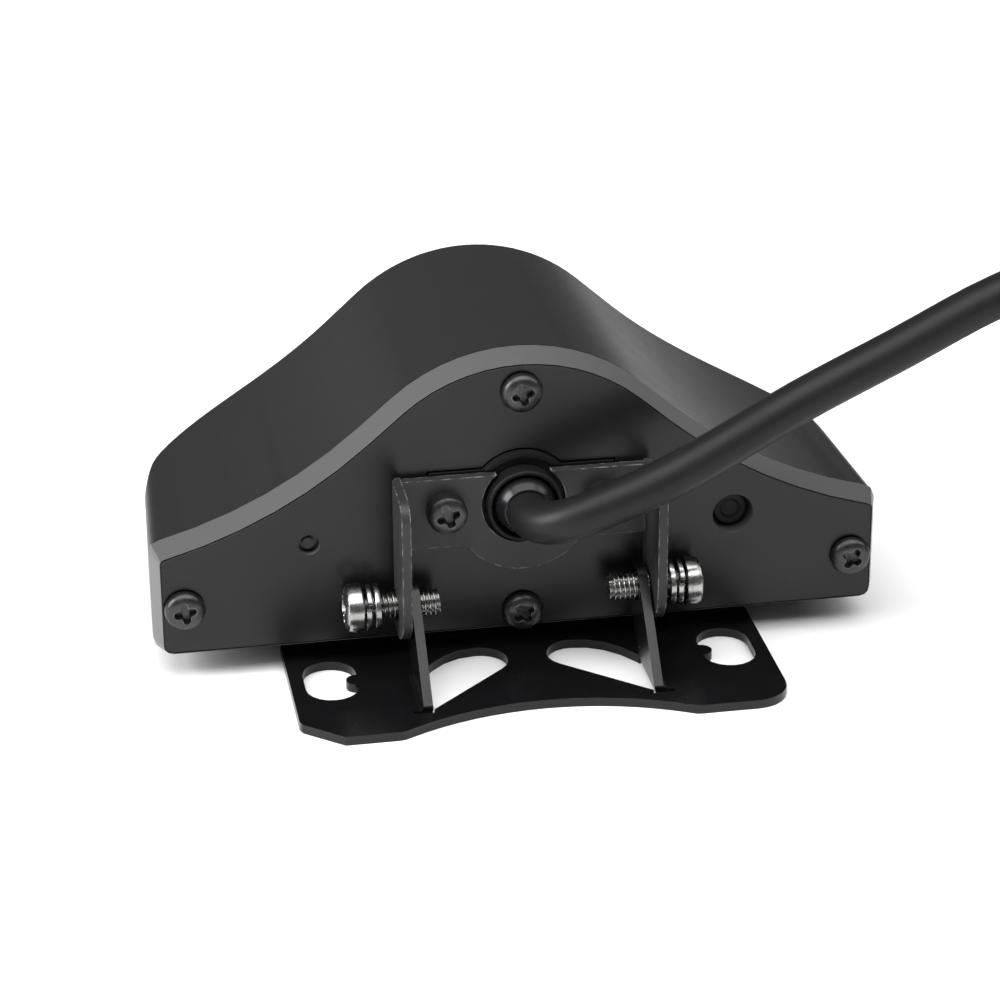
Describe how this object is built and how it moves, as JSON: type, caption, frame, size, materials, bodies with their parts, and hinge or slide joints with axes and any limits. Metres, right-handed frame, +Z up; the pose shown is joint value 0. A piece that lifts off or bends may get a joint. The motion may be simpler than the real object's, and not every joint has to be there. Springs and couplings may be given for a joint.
{
  "type": "backup camera",
  "caption": "Bell-shaped hooded camera housing that tilts on a sheet-metal foot, with a round lens and infrared lights behind a flat window and a rear cable ending in a screw connector.",
  "frame": {"origin": "on the underside of the mounting base, midway between its two screw holes", "axes": "+Z up from the mounting base, the lens looks along -Y, the cable leaves the back towards +Y; +X is the left side seen from behind"},
  "size_m": [0.2252, 0.0904, 0.0595],
  "materials": {
    "hood_paint": "satin black paint with a fine orange peel",
    "cover_paint": "satin black paint, slightly duller than the hood",
    "bracket_paint": "satin black paint on sheet steel, bare at the cut edges",
    "base_paint": "semi-gloss black powder coat on sheet steel",
    "black_screw": "black oxide steel, worn on the head",
    "clamp_steel": "dark nickel-plated steel",
    "gasket_rubber": "black silicone rubber",
    "gland_plastic": "glossy black moulded strain relief",
    "cable_jacket": "satin black cable jacket",
    "window_glass": "flat clear front window",
    "lens_glass": "coated lens glass",
    "lens_black": "matt black lens barrel",
    "brass": "turned brass",
    "circuit_board": "green solder mask",
    "chip": "image sensor package",
    "led_epoxy": "clear epoxy dome",
    "white_nylon": "white nylon board connector",
    "connector_nickel": "nickel-plated brass",
    "connector_black": "black connector insert"
  },
  "bodies": {
    "mount": {"mounting_base": "base_paint", "cable_lead": "cable_jacket", "cable_coil": "cable_jacket", "connector_boot": "cable_jacket", "connector_shell": "connector_nickel", "connector_insert": "connector_black"},
    "camera": {"main_housing": "hood_paint", "rear_cover": "cover_paint", "front_bezel": "cover_paint", "cover_gasket": "gasket_rubber", "vent_plug": "gasket_rubber", "bracket_gasket": "gasket_rubber", "gland_collar": "gasket_rubber", "strain_relief": "gland_plastic", "gland_nut": "brass", "swivel_bracket": "bracket_paint", "front_window": "window_glass", "lens_front_element": "lens_glass", "lens_rear_element": "lens_glass", "lens_barrel": "lens_black", "lens_holder": "lens_black", "lens_lock_ring": "brass", "sensor_board": "circuit_board", "ir_board_left": "circuit_board", "ir_board_right": "circuit_board", "image_sensor": "chip", "light_sensor": "led_epoxy", "board_socket": "white_nylon", "inner_lead": "cable_jacket", "cover_screw_top": "black_screw", "cover_screw_bottom": "black_screw", "cover_screw_left": "black_screw", "cover_screw_right": "black_screw", "bracket_screw_left": "black_screw", "bracket_screw_right": "black_screw", "ir_led_left_1": "led_epoxy", "ir_led_left_2": "led_epoxy", "ir_led_right_2": "led_epoxy", "ir_led_left_3": "led_epoxy", "ir_led_right_3": "led_epoxy", "ir_led_left_4": "led_epoxy", "ir_led_right_4": "led_epoxy", "ir_led_left_5": "led_epoxy", "ir_led_right_5": "led_epoxy"},
    "clamp_washers_left": {"flat_washer_left": "clamp_steel", "spring_washer_left": "clamp_steel"},
    "clamp_washers_right": {"flat_washer_right": "clamp_steel", "spring_washer_right": "clamp_steel"},
    "clamp_turn_left": {"clamp_screw_left": "clamp_steel"},
    "clamp_turn_right": {"clamp_screw_right": "clamp_steel"},
    "plug_ring": {"coupling_ring": "connector_nickel"}
  },
  "joints": [
    {"name": "camera_tilt", "type": "hinge", "parent": "mount", "child": "camera", "pos_m": [0, -0.0022, 0.0111], "axis": [-1, 0, 0], "range_deg": [-3, 60], "deforming": ["cable_lead"]},
    {"name": "washer_travel_left", "type": "slide", "parent": "mount", "child": "clamp_washers_left", "axis": [-1, 0, 0], "range_m": [-0.0014, 0.0021]},
    {"name": "clamp_left", "type": "hinge", "parent": "clamp_washers_left", "child": "clamp_turn_left", "pos_m": [0, -0.0022, 0.0111], "axis": [-1, 0, 0], "range_deg": [-725, 1085]},
    {"name": "washer_travel_right", "type": "slide", "parent": "mount", "child": "clamp_washers_right", "axis": [1, 0, 0], "range_m": [-0.0014, 0.00105]},
    {"name": "clamp_right", "type": "hinge", "parent": "clamp_washers_right", "child": "clamp_turn_right", "pos_m": [0, -0.0022, 0.0111], "axis": [1, 0, 0], "range_deg": [-725, 545]},
    {"name": "coupling_ring_spin", "type": "hinge", "parent": "mount", "child": "plug_ring", "pos_m": [-0.1661, -0.065, 0.0074], "axis": [0, 1, 0], "continuous": true}
  ],
  "couplings": [
    {"joint": "clamp_left", "follows": "washer_travel_left", "rad_per_m": 8976},
    {"joint": "clamp_right", "follows": "washer_travel_right", "rad_per_m": 8976}
  ]
}
